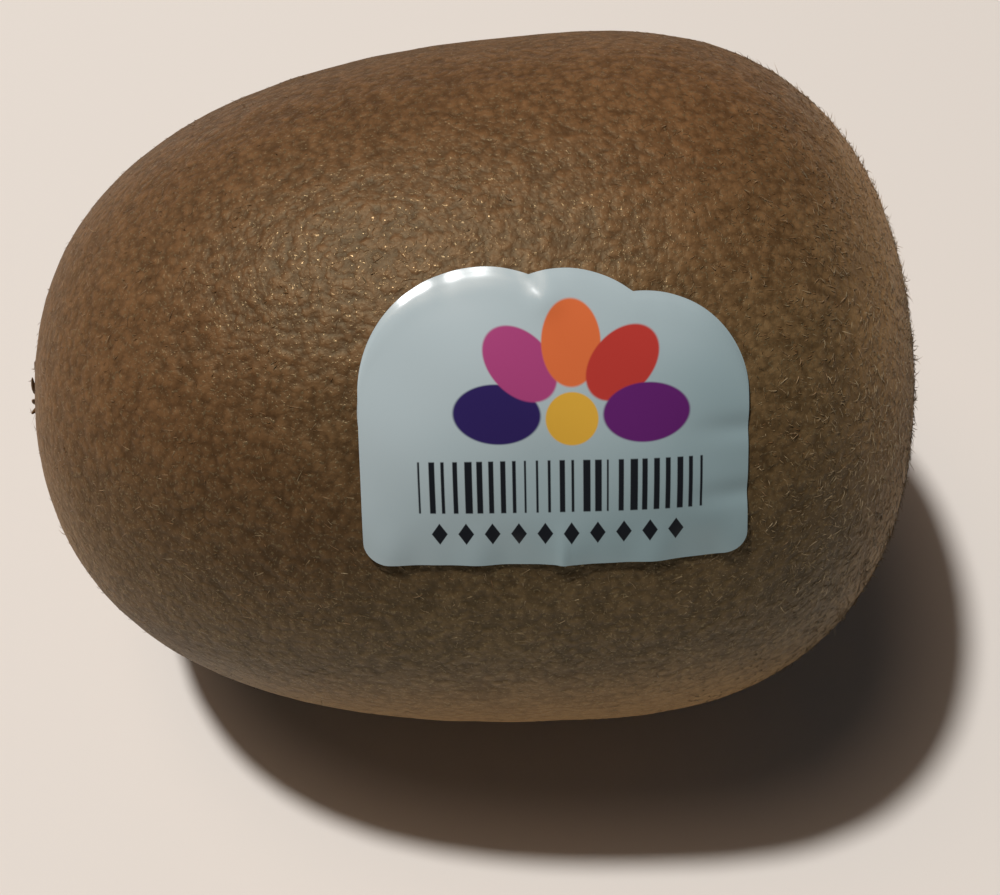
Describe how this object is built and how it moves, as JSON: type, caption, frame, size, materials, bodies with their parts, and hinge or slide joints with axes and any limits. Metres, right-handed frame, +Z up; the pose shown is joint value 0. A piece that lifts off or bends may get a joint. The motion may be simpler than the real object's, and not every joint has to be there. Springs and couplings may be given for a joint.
{
  "type": "kiwi fruit",
  "caption": "Whole unpeeled kiwi fruit lying on its side, egg shaped, with a fuzzy brown skin, a stem scar, dried flower remains and a small stuck-on label.",
  "frame": {"origin": "on the surface that the fruit rests on, below the middle of its box", "axes": "+Z up, +X along the fruit's length towards the stem end, which is turned 1.8 degrees towards +Y and raised 2.6 degrees; -Y is the side that carries the label"},
  "size_m": [0.066, 0.0518, 0.05],
  "materials": {
    "skin": "matte brown skin with a soft golden sheen from short fuzz",
    "label": "satin pale film with small printed shapes"
  },
  "bodies": {
    "root": {"fruit": "skin", "label": "label"}
  },
  "joints": []
}
